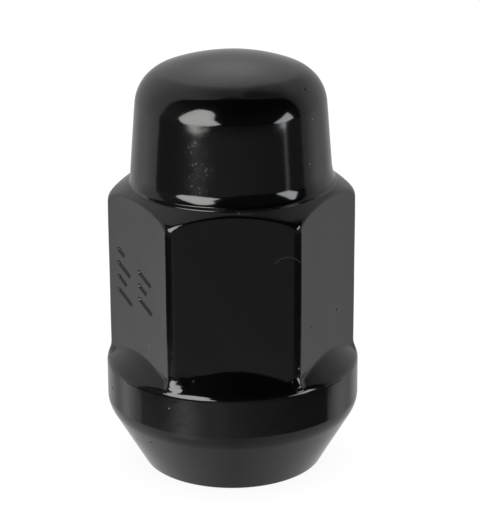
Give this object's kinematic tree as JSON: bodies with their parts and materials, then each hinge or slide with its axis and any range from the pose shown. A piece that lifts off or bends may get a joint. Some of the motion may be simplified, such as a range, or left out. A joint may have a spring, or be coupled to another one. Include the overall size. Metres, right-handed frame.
{
  "type": "lug nut",
  "caption": "Closed-end bulge acorn wheel nut: a hexagon with a rounded dome above, and a wide round bulge with a conical seat below.",
  "frame": {"origin": "centre of the nose's flat rim, on the stud's axis, at the plane that the nut stands on", "axes": "+Z along the stud's axis from the open nose to the dome, -Y square to one flat of the hexagon, so two corners of the hexagon lie on X"},
  "size_m": [0.0226, 0.0224, 0.0371],
  "materials": {
    "black_coat": "gloss black coating on steel"
  },
  "bodies": {
    "root": {"lug_nut": "black_coat"}
  },
  "joints": []
}
